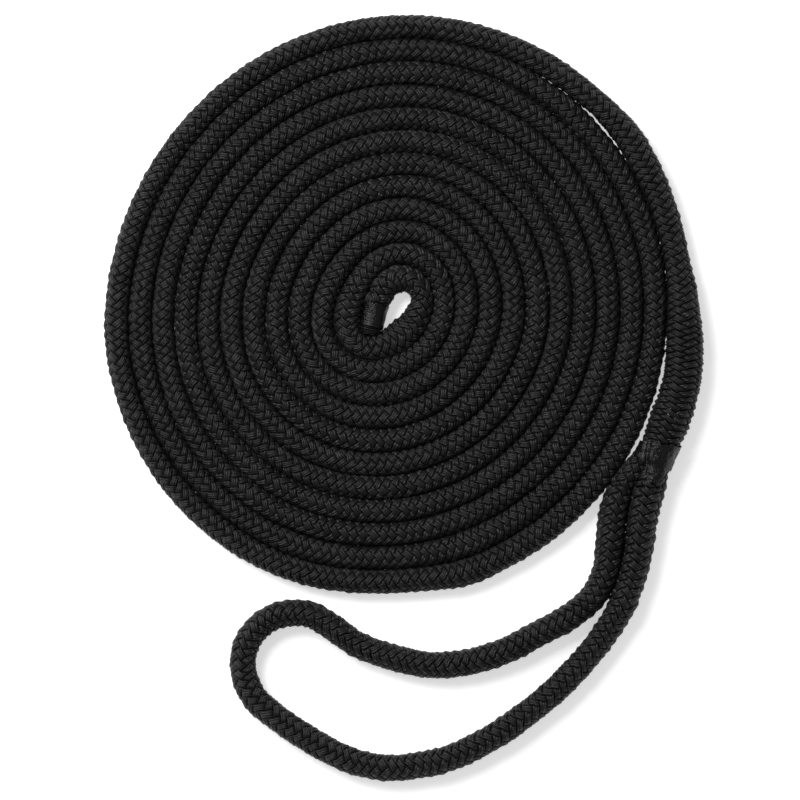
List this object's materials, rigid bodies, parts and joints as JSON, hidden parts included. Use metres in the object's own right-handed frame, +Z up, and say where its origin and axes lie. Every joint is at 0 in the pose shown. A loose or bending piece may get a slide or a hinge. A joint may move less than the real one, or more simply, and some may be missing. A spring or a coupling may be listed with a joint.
{
  "type": "coiled dock line",
  "caption": "Double-braid dock line with a spliced eye, wound clockwise into one flat coil, with shrink sleeves on its throat and bitter end.",
  "frame": {"origin": "middle of the line's footprint, on the surface that it lies on", "axes": "+Z up, out of the flat coil; +Y from the eye's crown side towards the far side of the coil; +X towards the side that the splice leaves on"},
  "size_m": [0.3272, 0.4206, 0.0212],
  "materials": {
    "braided_cover": "black braided nylon with a soft sheen",
    "braided_core": "undyed braided nylon",
    "shrink_sleeve": "black satin heat-shrink tube"
  },
  "bodies": {
    "root": {"line_coil": "braided_cover", "splice_cover": "braided_cover", "splice_core": "braided_core", "buried_cover_tail": "braided_cover", "eye_cover": "braided_cover", "eye_core": "braided_core", "throat_sleeve": "shrink_sleeve", "bitter_end": "braided_cover", "end_cap": "shrink_sleeve"}
  },
  "joints": []
}
